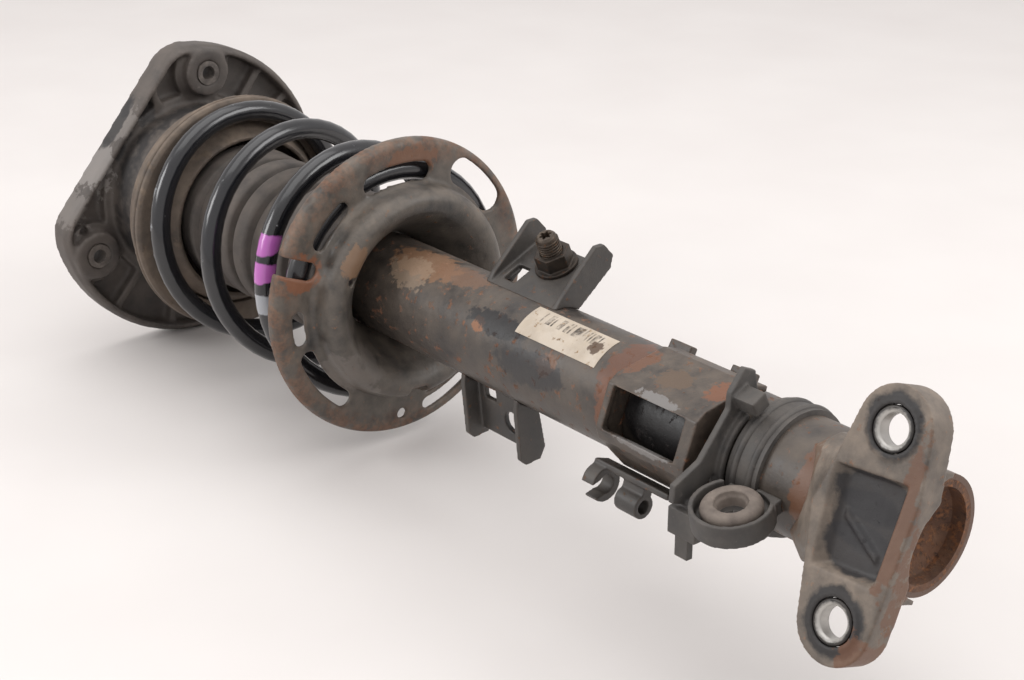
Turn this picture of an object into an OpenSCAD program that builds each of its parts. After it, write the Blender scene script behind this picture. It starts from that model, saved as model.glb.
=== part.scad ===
// Front suspension strut with its coil spring and turning top mount.
// The strut lies on its side: +X runs along the damper axis from the top mount to the wheel end,
// +Z is up, and the origin is the middle of the top mount's bolt circle on its mounting face.

/* [Top mount] */
// Radius of the bolt circle of the top mount
mount_bolt_radius = 77; // [75:0.5:79]
// Radius of each bolt hole through the top mount
mount_hole_radius = 4.4; // [4:0.1:5]
// Depth of the top mount's cast housing
mount_depth = 18; // [16:1:22]
// Outer radius of the housing's round sides
mount_radius = 94; // [93:0.5:96]
// Distance of the housing's straight side from the axis
mount_side = 67; // [66:0.5:70]
// Wall of the cast housing
mount_wall = 5; // [4:0.5:6]

/* [Spring] */
// Diameter of the spring wire
wire_d = 12; // [10:0.5:13]
// Radius from the axis to the middle of the wire
spring_radius = 66; // [64:0.5:68]
// Place along the axis of the wire's middle at the upper end turn
spring_top_x = 79; // [78:0.5:80]
// Place along the axis of the wire's middle at the lower end turn
spring_bottom_x = 230; // [228:0.5:232]
// Turns of the spring, end turns counted
spring_turns = 3.6; // [3.4:0.1:3.8]
// Outer radius of the pressed lower spring seat
seat_radius = 85; // [84:0.5:87]

/* [Damper] */
// Outer radius of the damper tube
tube_radius = 27.5; // [26.5:0.5:28.5]
// Wall of the damper tube
tube_wall = 2.5; // [2:0.25:2.5]
// Place along the axis of the tube's upper end
tube_top_x = 165; // [163:1:167]
// Place along the axis of the tube's lower end
tube_end_x = 603; // [600:1:606]
// Radius of the piston rod
rod_radius = 11; // [10:0.5:11]

/* [Knuckle side] */
// Turn of the knuckle side about the axis, up from the horizontal
knuckle_roll = 20; // [15:1:25]
// Half the distance between the two knuckle bolt holes
ear_offset = 41.5; // [40:0.5:44]
// Radius of the knuckle bolt holes
ear_hole_radius = 6.65; // [6:0.05:7]
// Radius of the ears
ear_radius = 18.5; // [17.5:0.5:20]
// Place along the axis of the knuckle bolt holes
ear_x = 593; // [590:1:595]
// Distance of the ears' front face from the axis
ear_face = 36; // [35:0.5:38]
// Depth of the ears' turned-back rim
ear_depth = 15; // [12:1:16]
// Depth of the collars in the ears, back from the ears' front face
ear_seat = 7; // [6:0.5:9]
// Outer radius of the collars in the ears
collar_radius = 10; // [9.5:0.25:11]
// Sheet thickness of the pressed brackets
sheet = 3.5; // [3:0.25:4]

/* [Link brackets] */
// Turn of each link bracket's web away from the knuckle side
link_turn = 26; // [22:1:30]
// Lean of the upper link bracket's web
link_lean = 20; // [16:1:24]
// Place along the axis of the first flange of a link bracket
link_start_x = 314; // [310:1:318]
// Distance from a link bracket's first flange to its stud hole
link_hole_step = 29; // [27:1:30]
// Width of the upper link bracket across its two flanges
upper_link_width = 55; // [52:1:58]
// Width of the lower link bracket across its two flanges
lower_link_width = 46; // [44:1:50]
// Reach of a link bracket's flanges from the axis
link_reach = 62; // [58:1:66]
// Radius of the hole for the link stud
link_hole_radius = 6.1; // [6:0.05:6.5]

/* [Hidden] */
$fn = 96;
eps = 0.01;
tube_bore = tube_radius - tube_wall;
disc_x = 240;
wire_r = wire_d / 2;
bearing_radius = 46.5;
ball_count = 24;
ball_radius = 2.6;
ball_x = 46;
pressure_bore = 17;
pressure_end_x = tube_end_x - 28;
pocket_x0 = 443;
pocket_x1 = 500;
grommet_pos = [533, -46, 1];
grommet_tilt = 12;
holder_r = 18.5;
steel_grey = "#3b3a3a";
cast_grey = "#4a4640";
rubber_grey = "#4b4742";
bright_steel = "#b9b9b8";

// ---------- shared shapes ----------

// Turns a profile of radius and axial place about the strut's axis.
module turned() {
    rotate([0, 90, 0]) rotate_extrude() children();
}

// A ring from axial place x0 to x1.
module ring(r_in, r_out, x0, x1) {
    turned() translate([r_in, x0]) square([r_out - r_in, x1 - x0]);
}

// A rod along the axis from x0 to x1.
module rod(r, x0, x1, sides = $fn) {
    translate([x0, 0, 0]) rotate([0, 90, 0]) cylinder(r = r, h = x1 - x0, $fn = sides);
}

// Swings what points along -Y up by an angle about the axis.
module around(angle) {
    rotate([-angle, 0, 0]) children();
}

// Extrudes an X-Z outline from distance h0 to h1 in front of the axis.
module facing(h0, h1) {
    translate([0, -h0, 0]) rotate([90, 0, 0]) linear_extrude(h1 - h0) children();
}

// Extrudes a Y-Z profile from axial place x0 to x1.
module along(x0, x1) {
    translate([x0, 0, 0]) rotate([90, 0, 90]) linear_extrude(x1 - x0) children();
}

// Part of a ring between two angles.
module arc_ring(r_in, r_out, from, to, x0, x1) {
    rotate([0, 90, 0])
        rotate([0, 0, -to - 90])
            rotate_extrude(angle = to - from)
                translate([r_in, x0]) square([r_out - r_in, x1 - x0]);
}

// A cutter for a round-ended slot on an arc between two angles.
module arc_slot(r_mid, width, from, to, x0, x1) {
    arc_ring(r_mid - width / 2, r_mid + width / 2, from, to, x0, x1);
    for (a = [from, to]) around(a) translate([0, -r_mid, 0]) rod(width / 2 + 0.06, x0 - 1, x1 + 1);
}

// ---------- damper ----------

module damper_tube() {
    color(steel_grey) ring(tube_bore, tube_radius, tube_top_x, tube_end_x);
}

// Pressed cup that closes the tube's lower end, with its dished base set back inside the rim.
module tube_end_cap() {
    rim = 3.2;
    color("#7a4a2c") turned() polygon([
        [0, tube_end_x - 14], [12, tube_end_x - 12], [tube_bore - rim, tube_end_x - 7],
        [tube_bore - rim, tube_end_x], [tube_bore, tube_end_x], [tube_bore, tube_end_x - 12],
        [tube_bore - rim, tube_end_x - 12], [12, tube_end_x - 15.5], [0, tube_end_x - 17.5]]);
}

module pressure_tube() {
    color("silver") ring(pressure_bore, pressure_bore + 1.5, 176, pressure_end_x);
}

// Foot valve that closes the pressure tube on the end cap's side.
module base_valve() {
    color("goldenrod") difference() {
        union() {
            rod(pressure_bore, pressure_end_x - 4, pressure_end_x);
            rod(pressure_bore + 1.5, pressure_end_x, pressure_end_x + 4);
        }
        for (a = [0:60:300]) around(a) translate([0, -10, 0])
            rod(2, pressure_end_x - 5, pressure_end_x + 5, 24);
    }
}

module rod_guide() {
    color("gainsboro") difference() {
        union() {
            rod(tube_bore, 169, 176);
            rod(pressure_bore, 176, 186);
        }
        rod(rod_radius + 0.05, 168, 187);
    }
}

module rod_seal() {
    color("dimgray") ring(rod_radius + 0.05, tube_bore, tube_top_x, 169);
}

// Cap pressed over the tube's top, which the bump stop strikes.
module bump_cap() {
    color(steel_grey) union() {
        ring(tube_radius, tube_radius + 1.5, 160, 176);
        ring(rod_radius + 3, tube_radius + eps, 160, 162);
    }
}

// ---------- lower spring seat ----------

// Half section of the pressed seat: rolled rim, spring channel, raised dome and funnel to the tube.
module seat_section() {
    r = seat_radius;
    x = disc_x;
    polygon([
        [r, x - 7], [r, x - 3], [r - 1, x - 0.6], [r - 3, x + 0.7], [r - 6, x + 1], [63, x + 1],
        [61.2, x + 2.4], [60.5, x + 5], [60.2, x + 9], [59.3, x + 12.6], [57.4, x + 15.6],
        [54.6, x + 17.3], [51.5, x + 17.4], [48.3, x + 16], [45, x + 13.2], [41.5, x + 8.8],
        [37.5, x + 3], [34, x - 3], [31, x - 9], [28.6, x - 15], [tube_radius, x - 20],
        [tube_radius + 3, x - 20], [31.2, x - 15.5], [33.7, x - 10], [36.7, x - 4.2],
        [40, x + 1.3], [44, x + 6.8], [47.3, x + 10.8], [50, x + 13.3], [52.3, x + 14.4],
        [54, x + 14.2], [55.8, x + 12.8], [56.8, x + 10.8], [57.3, x + 8], [57.6, x + 3.5],
        [59.2, x - 0.6], [62, x - 2], [r - 6, x - 2], [r - 4, x - 2.8], [r - 3, x - 4.2],
        [r - 3, x - 7]]);
}

module lower_spring_seat() {
    x0 = disc_x - 12;
    x1 = disc_x + 20;
    color("#4b3a30") difference() {
        turned() seat_section();
        arc_slot(72.2, 15.6, 125, 146, x0, x1);
        arc_slot(66.8, 10.6, 73, 102, x0, x1);
        arc_slot(66.8, 8.8, 36, 54, x0, x1);
        arc_slot(70, 7.6, -10, 0, x0, x1);
        arc_slot(69.2, 9.4, -51, -21, x0, x1);
        arc_slot(75, 6.8, -120, -101, x0, x1);
        arc_slot(66, 5, -120, -103, x0, x1);
        around(22) translate([x0, -95, -5]) cube([x1 - x0, 28, 10]);
        around(22) translate([0, -67, 0]) rod(5.06, x0 - 1, x1 + 1);
        around(-87) translate([x0, -60.5, -6.5]) cube([x1 - x0, 7, 13]);
        around(-87) translate([0, -75, 0]) rod(3, x0, x1);
        around(23) translate([0, -50, 0]) rod(2.3, x0, x1);
    }
}

module lower_seat_pad() {
    color("#2c2a28") rotate([0, 90, 0])
        rotate([0, 0, 44])
            rotate_extrude(angle = 70) translate([62, disc_x - 4]) square([10, 2]);
}

// ---------- link brackets ----------

// Channel welded to the tube: a leaning web with the link hole, between two flanges.
module link_channel(lean, width, tip) {
    x0 = link_start_x;
    x1 = link_start_x + width;
    around(link_turn) difference() {
        union() {
            on_link_web(lean) translate([1 - link_hole_step, -26, 0])
                cube([width - 2, 38, sheet]);
            for (x = [x0, x1 - sheet]) along(x, x + sheet) polygon([
                [-20, 12], [-22, 24], [-22, tip], [-18.5, tip + 4], [-9, tip + 4],
                [-5, tip - 2], [-8, 20]]);
        }
        rod(tube_radius, x0 - 1, x1 + 1);
        on_link_web(lean) translate([8 - link_hole_step, -20, -1]) cube([9, 12, sheet + 2]);
        on_link_web(lean) translate([0, 0, -1]) cylinder(r = link_hole_radius, h = sheet + 2);
    }
}

// Places a part on a link bracket's hole, with +Z out through the web from its back face.
module on_link_web(lean) {
    translate([link_start_x + link_hole_step, -9, 41]) rotate([90 - lean, 0, 0]) children();
}

module knuckle_side() {
    around(knuckle_roll) children();
}

module link_bracket_upper() {
    color(steel_grey) knuckle_side() link_channel(link_lean, upper_link_width, link_reach - 6);
}

module link_bracket_lower() {
    color(steel_grey) knuckle_side() mirror([0, 0, 1]) link_channel(0, lower_link_width, link_reach - 9);
}

// Places a part on the upper link hole with +Z running out along the stud.
module on_link_hole() {
    knuckle_side() around(link_turn) on_link_web(link_lean) children();
}

// Ball joint left on the bracket: its housing behind the web and its threaded stud in front.
module link_ball_joint() {
    color("#a9a49c") difference() {
        on_link_hole() union() {
            translate([0, 0, -13]) cylinder(r = 11.5, h = 10);
            translate([0, 0, -3]) cylinder(r = 9, h = 3);
            cylinder(r = link_hole_radius - 0.1, h = 24);
        }
        on_link_hole() translate([0, 0, 20]) cylinder(r = 3, h = 5, $fn = 6);
        rod(tube_radius + 0.5, link_start_x, link_start_x + 60);
    }
}

module link_nut() {
    color("#4a4643") on_link_hole() translate([0, 0, sheet]) difference() {
        union() {
            cylinder(r = 11.5, h = 2);
            translate([0, 0, 2]) cylinder(r = 9.8, h = 8, $fn = 6);
        }
        translate([0, 0, -1]) cylinder(r = link_hole_radius - 0.1, h = 12);
    }
}

// ---------- knuckle pocket and bracket ----------

// Cross-section of the pocket, from the tube's flanks to its flat front; inset thins it.
module pocket_profile(inset) {
    front = 41 - inset;
    polygon([
        [-front, 11 - inset], [-front + 4, 16 - inset], [-11, 30.5 - inset], [0, 30.5 - inset],
        [0, -29 + inset], [-15, -28.5 + inset], [-front + 4, -16 + inset], [-front, -11 + inset]]);
}

module knuckle_pocket() {
    wall = 3;
    window = [46, 21];
    color("#443b34") knuckle_side() difference() {
        along(pocket_x0, pocket_x1) pocket_profile(0);
        along(pocket_x0 + wall, pocket_x1 - wall) pocket_profile(wall);
        rod(tube_radius, pocket_x0 - 1, pocket_x1 + 1);
        translate([pocket_x0 + 4, -45, -window[1] / 2]) cube([window[0], 20, window[1]]);
    }
}

// Two small folded tabs on the pocket's far edge.
module pocket_tabs() {
    color("#443b34") knuckle_side() around(100)
        for (x = [434, 474]) difference() {
            translate([x, -33, -2.5]) cube([14, 9, 5]);
            rod(tube_radius, x - 1, x + 15);
        }
}

// One ear and the half of the body beside it, as a solid block; inset thins it.
module bracket_half(side, inset) {
    top = ear_face - inset;
    back = ear_face - ear_depth;
    hull() {
        translate([ear_x, 0, side * ear_offset]) facing(back, top) circle(r = ear_radius - inset);
        facing(back, top) polygon([
            [ear_x - 27 + inset, 0], [ear_x - 24 + inset, side * 16],
            [ear_x + 19 + side * 3 - inset, side * 18], [ear_x + 21 - inset, 0]]);
    }
    hull() {
        facing(back, top) polygon([
            [ear_x - 27 + inset, 0], [ear_x - 22 + inset, side * (20 - inset)],
            [ear_x + 14 - inset, side * (20 - inset)], [ear_x + 21 - inset, 0]]);
        facing(5, 21 - inset) polygon([
            [ear_x - 44 + inset, 0], [ear_x - 44 + inset, side * (20 - inset)],
            [ear_x - 34, side * (29 - inset)], [ear_x + 14 - inset, side * (29 - inset)],
            [ear_x + 14 - inset, 0]]);
    }
}

// Pan between the ears, pressed in towards the tube; its walls lean.
module bracket_pan(inset) {
    hull() {
        facing(ear_face - 6.5 - inset, ear_face - 6.4) polygon([
            [ear_x - 17 - inset, 18 + inset], [ear_x + 11 + inset, 20 + inset],
            [ear_x + 10 + inset, -19 - inset], [ear_x - 14 - inset, -21 - inset]]);
        facing(ear_face, ear_face + 1) polygon([
            [ear_x - 22 - inset, 20 + inset], [ear_x + 15 + inset, 23 + inset],
            [ear_x + 13 + inset, -22 - inset], [ear_x - 19 - inset, -24 - inset]]);
    }
}

module knuckle_bracket() {
    color("#5a4d40") knuckle_side() difference() {
        union() {
            difference() {
                for (side = [-1, 1]) bracket_half(side, 0);
                difference() {
                    translate([0, 2, 0]) for (side = [-1, 1]) bracket_half(side, sheet);
                    bracket_pan(2);
                }
                bracket_pan(0);
            }
            hull() {
                facing(ear_face - 8, ear_face - 7.5) polygon([
                    [ear_x - 15, 4], [ear_x + 8, -9], [ear_x + 8, -15], [ear_x - 15, -2]]);
                facing(ear_face - 6, ear_face - 5.2) polygon([
                    [ear_x - 13, 2], [ear_x + 7, -10.5], [ear_x + 7, -13], [ear_x - 13, -0.5]]);
            }
            for (side = [-1, 1]) translate([ear_x, 0, side * ear_offset])
                facing(ear_face - sheet, ear_face + 0.8) circle(r = 12.5);
        }
        rod(tube_radius, ear_x - 60, ear_x + 30);
        for (side = [-1, 1]) translate([ear_x, 0, side * ear_offset])
            facing(0, ear_face + 2) circle(r = collar_radius + 0.1);
    }
}

// Pressed collars in the two ears, which the knuckle bolts pass through.
module knuckle_collars() {
    color(bright_steel) knuckle_side() for (side = [-1, 1])
        translate([ear_x, 0, side * ear_offset]) facing(ear_face - ear_seat, ear_face + 0.5)
            difference() {
                circle(r = collar_radius);
                circle(r = ear_hole_radius);
            }
}

// ---------- hose bracket and lead holder ----------

module hose_bracket() {
    hook = [-20, -39.5];
    eye = [-20, -41];
    color(steel_grey) knuckle_side() {
        difference() {
            union() {
                along(433, 441) translate(hook) circle(r = 9);
                along(433, 482) translate([-24, -32]) square([9, 3.2]);
            }
            along(432, 442) translate(hook) circle(r = 4.7);
            along(432, 442) translate(hook) rotate(215) translate([0, -4]) square([12, 8]);
        }
        difference() {
            union() {
                along(453, 467) translate(eye) circle(r = 6);
                along(453, 467) translate([-23, -37]) square([6, 6]);
            }
            along(452, 468) translate(eye) circle(r = 3.3);
        }
    }
}

// Places a part on the lead grommet's axis.
module on_grommet() {
    translate(grommet_pos) rotate([grommet_tilt, 0, 0]) children();
}

// Moulded holder for the sensor lead: cup for the grommet, fin with its head, and clip block.
module lead_holder() {
    color("#3d3d3c") difference() {
        union() {
            on_grommet() difference() {
                union() {
                    translate([0, 0, -9]) cylinder(r = holder_r, h = 11);
                    translate([-14, 6, -9]) cube([26, 13, 8]);
                }
                translate([0, 0, -5]) cylinder(r = holder_r - 2.2, h = 9);
                translate([0, 0, -10]) cylinder(r = 8, h = 9);
                translate([-20, 10, -2]) cube([40, 14, 6]);
            }
            around(40) along(506, 509.5) polygon([
                [-27, -34], [-41, -40], [-46, -33], [-38.5, -18], [-38.5, 8], [-43, 14],
                [-43, 27], [-36, 29], [-27, 22]]);
            arc_ring(29, 32.5, -24, 60, 506, 513);
            around(64) translate([506, -43, -4.5]) cube([15, 8, 9]);
            translate([502, -50, -14]) cube([18, 20, 9]);
            translate([503, -54, -21]) cube([17, 12, 13]);
            translate([505, -51, -33]) cube([8, 4, 14]);
        }
        rod(27.6, 480, 560);
        rod(31.6, 513.6, 531.4);
        on_grommet() translate([0, 0, -5]) cylinder(r = holder_r - 2.2, h = 9);
    }
}

module lead_holder_bands() {
    color("#2f2e2d") union() {
        ring(tube_radius, 30, 514, 531);
        for (x = [518, 527]) rotate([0, 90, 0]) rotate_extrude() translate([29.5, x]) circle(r = 1.8, $fn = 32);
    }
}

module lead_grommet() {
    color("#4a423b") on_grommet() translate([0, 0, -5]) rotate_extrude()
        translate([6.3, 0]) union() {
            square([7, 5]);
            translate([4, 4]) circle(r = 3.6, $fn = 48);
            translate([1.2, 4]) square([3, 3.4]);
        }
}

// Blank label wrapped round the tube.
module type_label() {
    color("white") rotate([0, 90, 0]) rotate([0, 0, -172])
        rotate_extrude(angle = 40) translate([tube_radius, 360]) square([0.3, 58]);
}

// ---------- spring and boot ----------

// Axial place of the wire's middle at a fraction of its length, flat at both end turns.
function coil_x(f) = let (g = min(max((f - 0.1) / 0.78, 0), 1))
    spring_top_x + (spring_bottom_x - spring_top_x) * g;

module coil_spring() {
    sides = 10;
    rings = 76;
    start = -40;
    pts = [for (i = [0:rings]) let (f = i / rings, a = start + 360 * spring_turns * f)
        for (k = [0:sides - 1]) let (b = 360 * k / sides, r = spring_radius + wire_r * cos(b))
            [coil_x(f) + wire_r * sin(b), r * cos(a), r * sin(a)]];
    skin = [for (i = [0:rings - 1]) for (k = [0:sides - 1]) let (n = (k + 1) % sides, p = i * sides)
        [p + k, p + n, p + sides + n, p + sides + k]];
    ends = [[for (k = [0:sides - 1]) sides - 1 - k], [for (k = [0:sides - 1]) rings * sides + k]];
    color("#1b1b1d") polyhedron(points = pts, faces = concat(skin, ends));
}

// Half section of the ribbed dust boot, with a collar at each end.
module dust_boot() {
    ribs = 6;
    x0 = 92;
    x1 = 206;
    pitch = (x1 - x0) / ribs;
    outer = [for (i = [0:ribs - 1]) each [
        [42, x0 + pitch * i + 1], [42, x0 + pitch * (i + 0.55)],
        [37.5, x0 + pitch * (i + 0.7)], [37.5, x0 + pitch * (i + 0.95)]]];
    color("#5a534c") turned()
        polygon(concat([[32, 74], [44.5, 74], [44.5, 88], [41, 91]], outer,
            [[31.5, x1 + 2], [31.5, x1 + 8], [28.2, x1 + 8], [28.2, x1], [32, x1 - 2]]));
}

module bump_stop() {
    color("#c9b98a") turned() polygon([
        [rod_radius + 0.1, 58], [21, 58], [22, 62], [19, 66], [22, 71], [18.5, 76], [20, 80],
        [16, 87], [rod_radius + 0.1, 88]]);
}

// ---------- upper seat and bearing ----------

module upper_spring_seat() {
    color("#5a4a3c") difference() {
        turned() polygon([
            [36, 51], [66, 51], [69, 66.5], [73, 66.5], [73, 69], [58, 69], [50.5, 83],
            [48, 82], [54, 68], [54, 56], [36, 56]]);
        for (a = [0:20:340]) around(a) translate([62.5, -64, 0]) rotate([90, 0, 0])
            cylinder(r = 1.5, h = 8, $fn = 24);
    }
}

module spring_insulator() {
    color("#75695c") ring(58, 72.5, 69, 73);
}

module race(x0, groove) {
    difference() {
        ring(38, 55, x0, x0 + 3);
        rotate([0, 90, 0]) rotate_extrude() translate([bearing_radius, groove]) circle(r = ball_radius + 0.3);
    }
}

module bearing_upper_race() {
    color(bright_steel) race(41, ball_x);
}

module bearing_lower_race() {
    color(bright_steel) race(48, ball_x);
}

// Ball set with its thin cage ring.
module bearing_balls() {
    color(bright_steel) union() {
        for (i = [0:ball_count - 1]) around(i * 360 / ball_count)
            translate([ball_x, -bearing_radius, 0]) sphere(r = ball_radius, $fn = 24);
        ring(bearing_radius - 0.8, bearing_radius + 0.8, ball_x - 0.8, ball_x + 0.8);
    }
}

// ---------- top mount ----------

// Round outline with one straight side, blended by corner arcs; inset thins it.
module mount_outline(inset) {
    blend = 25;
    near = mount_side - blend;
    reach = mount_radius - blend;
    far = sqrt(reach * reach - near * near);
    rotate(-40) {
        intersection() {
            circle(r = mount_radius - inset);
            translate([-near * (mount_radius - inset) / reach, -120]) square([240, 240]);
        }
        translate([inset - mount_side, -far]) square([mount_side, 2 * far]);
        for (s = [-1, 1]) translate([-near, s * far]) circle(r = blend - inset);
    }
}

// Repeats a part at the three corners of the top mount, swung about the axis.
module at_mount_corners() {
    for (a = [100, -20, -140]) around(a) translate([0, -mount_bolt_radius, 0]) children();
}

// Casting: a shallow tray with a bearing carrier, ribs and three bolt bosses.
module mount_housing() {
    floor_x = 6;
    hub = 56;
    color(cast_grey) difference() {
        union() {
            difference() {
                union() {
                    along(0, mount_depth - 4) mount_outline(0);
                    along(mount_depth - 4, mount_depth) mount_outline(1.5);
                }
                along(floor_x, mount_depth + 1) mount_outline(mount_wall);
            }
            ring(32, 37, 0, 41);
            ring(hub - 5, hub, floor_x - 1, 41);
            ring(36, hub, 38, 41);
            ring(hub - 1, 62, floor_x - 1, 12);
            at_mount_corners() rod(15, 0, 20);
            intersection() {
                along(0, mount_depth) mount_outline(1);
                union() {
                    at_mount_corners() rod(19.5, 0, 13);
                    for (a = [72, 128, 146, 164, -168, -112, -94, -76, -48])
                        around(a) translate([floor_x - 1, -99, -2.5]) cube([8, 45, 5]);
                }
            }
        }
        rod(32, -1, 42);
        at_mount_corners() rod(7.5, -1, 21);
        for (a = [-33, -8]) around(a) translate([4, -78, 0]) rod(2.6, 3, 20, 24);
    }
}

// Steel sleeves cast into the bolt bosses.
module mount_sleeves() {
    color("#6b655c") at_mount_corners() difference() {
        rod(7.5, 0, 20.5);
        rod(mount_hole_radius, -1, 30);
    }
}

module mount_rubber() {
    color("#2a2827") turned() polygon([
        [13, 20], [16, 17], [28, 17], [32, 20], [32, 40], [28, 43], [16, 43], [13, 41]]);
}

module mount_core() {
    color(bright_steel) ring(7.1, 13, 18, 45);
}

module mount_washer() {
    color(bright_steel) ring(7.1, 14.5, 15.5, 18);
}

module rod_nut() {
    color(bright_steel) difference() {
        rod(12, 5, 15.5, 6);
        rod(7.05, 4, 16);
    }
}

module piston_rod() {
    color(bright_steel) {
        rod(7, 1, 45);
        rod(rod_radius, 45, 262);
        rod(5.5, 262, 294);
    }
}

module rebound_stop() {
    color("dimgray") ring(rod_radius, 15, 187, 193);
}

// Piston with a groove for its band and a ring of oil ports.
module piston() {
    color("silver") difference() {
        rod(16.6, 262, 282);
        rod(5.5, 261, 283);
        turned() translate([16, 267]) square([2, 10]);
        for (a = [0:60:300]) around(a) translate([0, -11, 0]) rod(1.8, 261, 283, 24);
    }
}

module piston_band() {
    color("seagreen") ring(16, pressure_bore - 0.05, 267, 277);
}

module piston_nut() {
    color("silver") difference() {
        rod(9.5, 282, 290, 6);
        rod(5.5, 281, 291);
    }
}

damper_tube();
tube_end_cap();
pressure_tube();
base_valve();
rod_guide();
rod_seal();
bump_cap();
lower_spring_seat();
lower_seat_pad();
link_bracket_upper();
link_bracket_lower();
link_ball_joint();
link_nut();
knuckle_pocket();
pocket_tabs();
knuckle_bracket();
knuckle_collars();
hose_bracket();
lead_holder();
lead_holder_bands();
lead_grommet();
type_label();
coil_spring();
dust_boot();
upper_spring_seat();
spring_insulator();
bearing_lower_race();
bearing_balls();
mount_housing();
mount_sleeves();
mount_rubber();
mount_core();
bearing_upper_race();
mount_washer();
rod_nut();
piston_rod();
bump_stop();
rebound_stop();
piston();
piston_band();
piston_nut();
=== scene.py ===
"""Looks of a used front suspension strut: a worn, rusty damper with its spring, boot and top mount.

The strut lies on its side on a pale floor. +X runs along the damper from the top mount to the
wheel end and +Z is up. Sizes in this file are millimetres; the meshes are in metres.
"""

import logging
import math
from dataclasses import dataclass, field
from enum import Enum
from typing import Any

import bmesh
import bpy
from mathutils import Matrix, Vector


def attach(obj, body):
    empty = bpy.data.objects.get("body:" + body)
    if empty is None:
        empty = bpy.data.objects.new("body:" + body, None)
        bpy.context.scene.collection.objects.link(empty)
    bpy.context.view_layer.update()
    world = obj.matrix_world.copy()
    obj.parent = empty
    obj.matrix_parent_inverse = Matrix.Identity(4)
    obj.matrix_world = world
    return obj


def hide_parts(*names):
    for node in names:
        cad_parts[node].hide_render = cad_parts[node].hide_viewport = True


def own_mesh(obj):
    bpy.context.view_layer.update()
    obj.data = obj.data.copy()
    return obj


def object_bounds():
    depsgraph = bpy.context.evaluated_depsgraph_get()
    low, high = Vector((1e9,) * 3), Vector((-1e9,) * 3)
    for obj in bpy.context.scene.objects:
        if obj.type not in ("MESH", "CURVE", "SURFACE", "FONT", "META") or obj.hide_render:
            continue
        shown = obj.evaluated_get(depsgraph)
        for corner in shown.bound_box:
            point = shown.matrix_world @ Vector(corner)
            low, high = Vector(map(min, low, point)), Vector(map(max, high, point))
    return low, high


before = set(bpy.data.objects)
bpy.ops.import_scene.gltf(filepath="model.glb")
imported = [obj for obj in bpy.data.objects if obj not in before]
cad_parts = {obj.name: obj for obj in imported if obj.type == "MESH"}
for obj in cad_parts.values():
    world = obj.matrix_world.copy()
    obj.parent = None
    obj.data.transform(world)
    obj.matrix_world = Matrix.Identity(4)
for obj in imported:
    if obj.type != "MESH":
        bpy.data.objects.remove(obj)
CAD_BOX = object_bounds()

LOG = logging.getLogger("strut")
MM = 0.001
AXIS = Vector((1, 0, 0))
# Turn of the knuckle side about the axis, up from -Y.
KNUCKLE_ROLL = 20.0
# Turn of the upper link bracket from the knuckle side, lean of its web, and place of its hole.
LINK_TURN = 26.0
LINK_LEAN = 20.0
LINK_X = 343.0
# Place of the knuckle holes along the axis, and their distance from the bracket's middle.
EAR_X = 593.0
EAR_OFFSET = 41.5
STRIPE_INK = "#453d35"
# Roughness of rust and dust, where the clean surface is smoother.
DUST_ROUGHNESS = 0.82
# Pointiness where wear on a raised edge starts, and where it is full.
EDGE_STARTS = 0.515
EDGE_FULL = 0.60
# Settings that several nodes share.
MULTIPLY = {"operation": "MULTIPLY"}
MAXIMUM = {"operation": "MAXIMUM"}
CLAMPED = {"clamp": True}
COLOURS = {"data_type": "RGBA"}


class Body(Enum):
    """The bodies of the packed model that pieces ride on."""

    DAMPER = "damper"
    SPRING_TOP = "spring_top"
    TOP_MOUNT = "top_mount"


# ---------------------------------------------------------------- materials


def linear(colour: str) -> tuple[float, float, float, float]:
    """Turns an sRGB hex colour into linear RGBA.

    Args:
        colour: Six hex digits after a hash.

    Returns:
        The linear colour, opaque.
    """
    parts = [int(colour[i : i + 2], 16) / 255 for i in (1, 3, 5)]
    r, g, b = (c / 12.92 if c <= 0.04045 else ((c + 0.055) / 1.055) ** 2.4 for c in parts)
    return (r, g, b, 1.0)


def add(tree: Any, kind: str, settings: dict | None = None, feeds: dict | None = None) -> Any:
    """Adds a node with its settings, and feeds its inputs.

    Args:
        tree: The node tree.
        kind: The node's type name, without its ShaderNode prefix.
        settings: Properties of the node.
        feeds: Input name or number to a value, or to a socket that is linked to it.

    Returns:
        The new node.
    """
    node = tree.nodes.new("ShaderNode" + kind)
    for name, value in (settings or {}).items():
        setattr(node, name, value)
    for name, value in (feeds or {}).items():
        if isinstance(value, bpy.types.NodeSocket):
            tree.links.new(value, node.inputs[name])
        else:
            node.inputs[name].default_value = value
    return node


def empty_material(name: str) -> bpy.types.Material:
    """Makes a material whose node tree is empty."""
    material = bpy.data.materials.new(name)
    material.use_nodes = True
    material.node_tree.nodes.clear()
    return material


def placed(name: str, data: Any) -> bpy.types.Object:
    """Makes an object of a mesh, lamp or camera, and links it to the scene."""
    made = bpy.data.objects.new(name, data)
    bpy.context.scene.collection.objects.link(made)
    return made


@dataclass(frozen=True)
class Mark:
    """A local stain, chip or dab of paint.

    Args:
        centre: Its middle in the strut's frame, in mm.
        size: Its half sizes along X, Y and Z, in mm.
        colour: Its sRGB colour.
        strength: How much of it covers the surface.
        ragged: How far its edge wanders, as a share of its size.
        grain: Size of the wander of its edge, in mm.
    """

    centre: tuple[float, float, float]
    size: tuple[float, float, float]
    colour: str
    strength: float = 1.0
    ragged: float = 0.5
    grain: float = 6.0


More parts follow.
